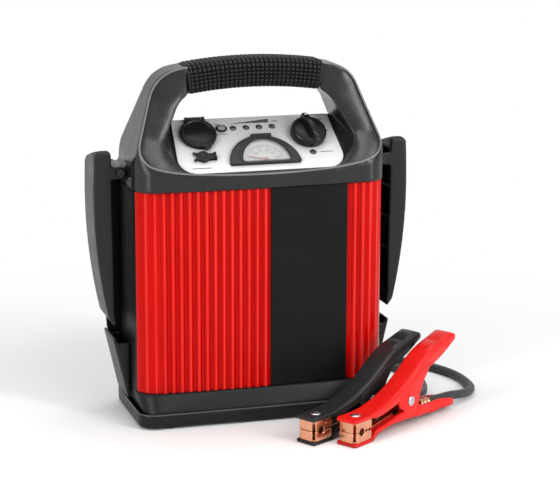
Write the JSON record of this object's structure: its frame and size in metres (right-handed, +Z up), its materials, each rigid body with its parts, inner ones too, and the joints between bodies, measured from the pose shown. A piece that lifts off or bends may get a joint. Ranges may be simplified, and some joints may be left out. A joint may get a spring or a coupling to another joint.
{
  "type": "jump starter pack",
  "caption": "Portable jump starter pack: ribbed upright case, arched carry handle, sloping control panel, side storage arms and two battery clamps on cables.",
  "frame": {"origin": "on the floor, under the middle of the base tray", "axes": "+X to the pack's right seen from its front, +Y to its back, +Z up"},
  "size_m": [0.3579, 0.2762, 0.3194],
  "materials": {
    "black_plastic": "satin moulded plastic",
    "dark_plastic": "fine-grained moulded plastic",
    "red_plastic": "glossy moulded plastic",
    "plate_black": "smooth semi-gloss",
    "rubber": "soft matt rubber",
    "panel_silver": "silver paint",
    "dial_white": "printed white",
    "needle_red": "painted",
    "clear": "clear acrylic",
    "light_dark": "unlit lamp",
    "button_grey": "moulded",
    "steel": "plated steel",
    "brass": "turned brass",
    "copper": "copper-plated steel sheet",
    "lead": "lead plates in absorbent mat",
    "battery_grey": "moulded ABS",
    "alloy": "die-cast",
    "board_green": "solder mask",
    "cable_black": "smooth cable sheath"
  },
  "bodies": {
    "root": {"bottom_tray": "black_plastic", "rubber_feet": "rubber", "lower_frame": "black_plastic", "front_panel": "red_plastic", "label_plate": "plate_black", "rear_cover": "dark_plastic", "base_screws": "steel", "rear_screws": "steel", "top_housing": "black_plastic", "handle_arch": "black_plastic", "left_leg_fascia": "black_plastic", "right_leg_fascia": "black_plastic", "handle_grip": "rubber", "control_panel": "panel_silver", "outlet_socket": "dark_plastic", "outlet_cap_pin": "steel", "charge_jack": "dark_plastic", "battery_lights": "light_dark", "fault_light": "light_dark", "rotary_switch": "dark_plastic", "gauge_bezel": "black_plastic", "gauge_dial": "dial_white", "gauge_lens": "clear", "circuit_board": "board_green", "arm_pins": "steel", "left_hook": "black_plastic", "right_hook": "black_plastic", "battery_case": "battery_grey", "battery_cells": "lead", "battery_terminals": "brass", "compressor_motor": "steel", "compressor_head": "alloy", "air_fitting": "brass", "red_cable_gland": "dark_plastic", "black_cable_gland": "dark_plastic", "red_cable": "cable_black", "black_cable": "cable_black", "red_clamp_lower": "red_plastic", "red_clamp_pin": "steel", "red_clamp_spring": "steel", "red_jaw_lower": "copper", "red_rivet_lower": "steel", "black_clamp_lower": "dark_plastic", "black_clamp_pin": "steel", "black_clamp_spring": "steel", "black_jaw_lower": "copper", "black_rivet_lower": "steel"},
    "knob": {"power_knob": "dark_plastic"},
    "test_button": {"battery_test_button": "button_grey"},
    "outlet_lid": {"outlet_cap": "dark_plastic"},
    "jack_lid": {"charge_jack_cap": "rubber"},
    "needle": {"gauge_needle": "needle_red"},
    "left_storage_arm": {"left_arm": "black_plastic"},
    "right_storage_arm": {"right_arm": "black_plastic"},
    "red_jaw": {"red_clamp_upper": "red_plastic", "red_jaw_upper": "copper", "red_rivet_upper": "steel"},
    "black_jaw": {"black_clamp_upper": "dark_plastic", "black_jaw_upper": "copper", "black_rivet_upper": "steel"}
  },
  "joints": [
    {"name": "knob_turn", "type": "hinge", "parent": "root", "child": "knob", "pos_m": [0.0485, -0.00881, 0.24892], "axis": [0, 0.6157, -0.788], "range_deg": [0, 110]},
    {"name": "test_press", "type": "slide", "parent": "root", "child": "test_button", "axis": [0, 0.6157, -0.788], "range_m": [0, 0.0012], "stiffness_N_per_m": 300},
    {"name": "outlet_lid_hinge", "type": "hinge", "parent": "root", "child": "outlet_lid", "pos_m": [-0.0517, 0.00709, 0.26463], "axis": [-1, 0, 0], "range_deg": [0, 83]},
    {"name": "jack_lid_hinge", "type": "hinge", "parent": "root", "child": "jack_lid", "pos_m": [-0.0418, -0.02729, 0.23765], "axis": [0, 0.788, 0.6157], "range_deg": [0, 110]},
    {"name": "needle_swing", "type": "hinge", "parent": "root", "child": "needle", "pos_m": [0.004, -0.02993, 0.23242], "axis": [0, 0.6157, -0.788], "range_deg": [0, 150], "stiffness_Nm_per_rad": 0.001},
    {"name": "left_arm_hinge", "type": "hinge", "parent": "root", "child": "left_storage_arm", "pos_m": [-0.1215, 0.0165, 0.222], "axis": [0, 1, 0], "range_deg": [0, 45]},
    {"name": "right_arm_hinge", "type": "hinge", "parent": "root", "child": "right_storage_arm", "pos_m": [0.1215, 0.0165, 0.222], "axis": [0, -1, 0], "range_deg": [0, 45]},
    {"name": "red_jaw_hinge", "type": "hinge", "parent": "root", "child": "red_jaw", "pos_m": [0.10895, -0.09594, 0.024], "axis": [-0.5388, 0.8425, 0], "range_deg": [0, 28], "stiffness_Nm_per_rad": 0.6, "springref_deg": -28.65, "deforming": ["red_clamp_spring"]},
    {"name": "black_jaw_hinge", "type": "hinge", "parent": "root", "child": "black_jaw", "pos_m": [0.079, -0.08279, 0.024], "axis": [-0.509, 0.8607, 0], "range_deg": [0, 28], "stiffness_Nm_per_rad": 0.6, "springref_deg": -28.65, "deforming": ["black_clamp_spring"]}
  ]
}
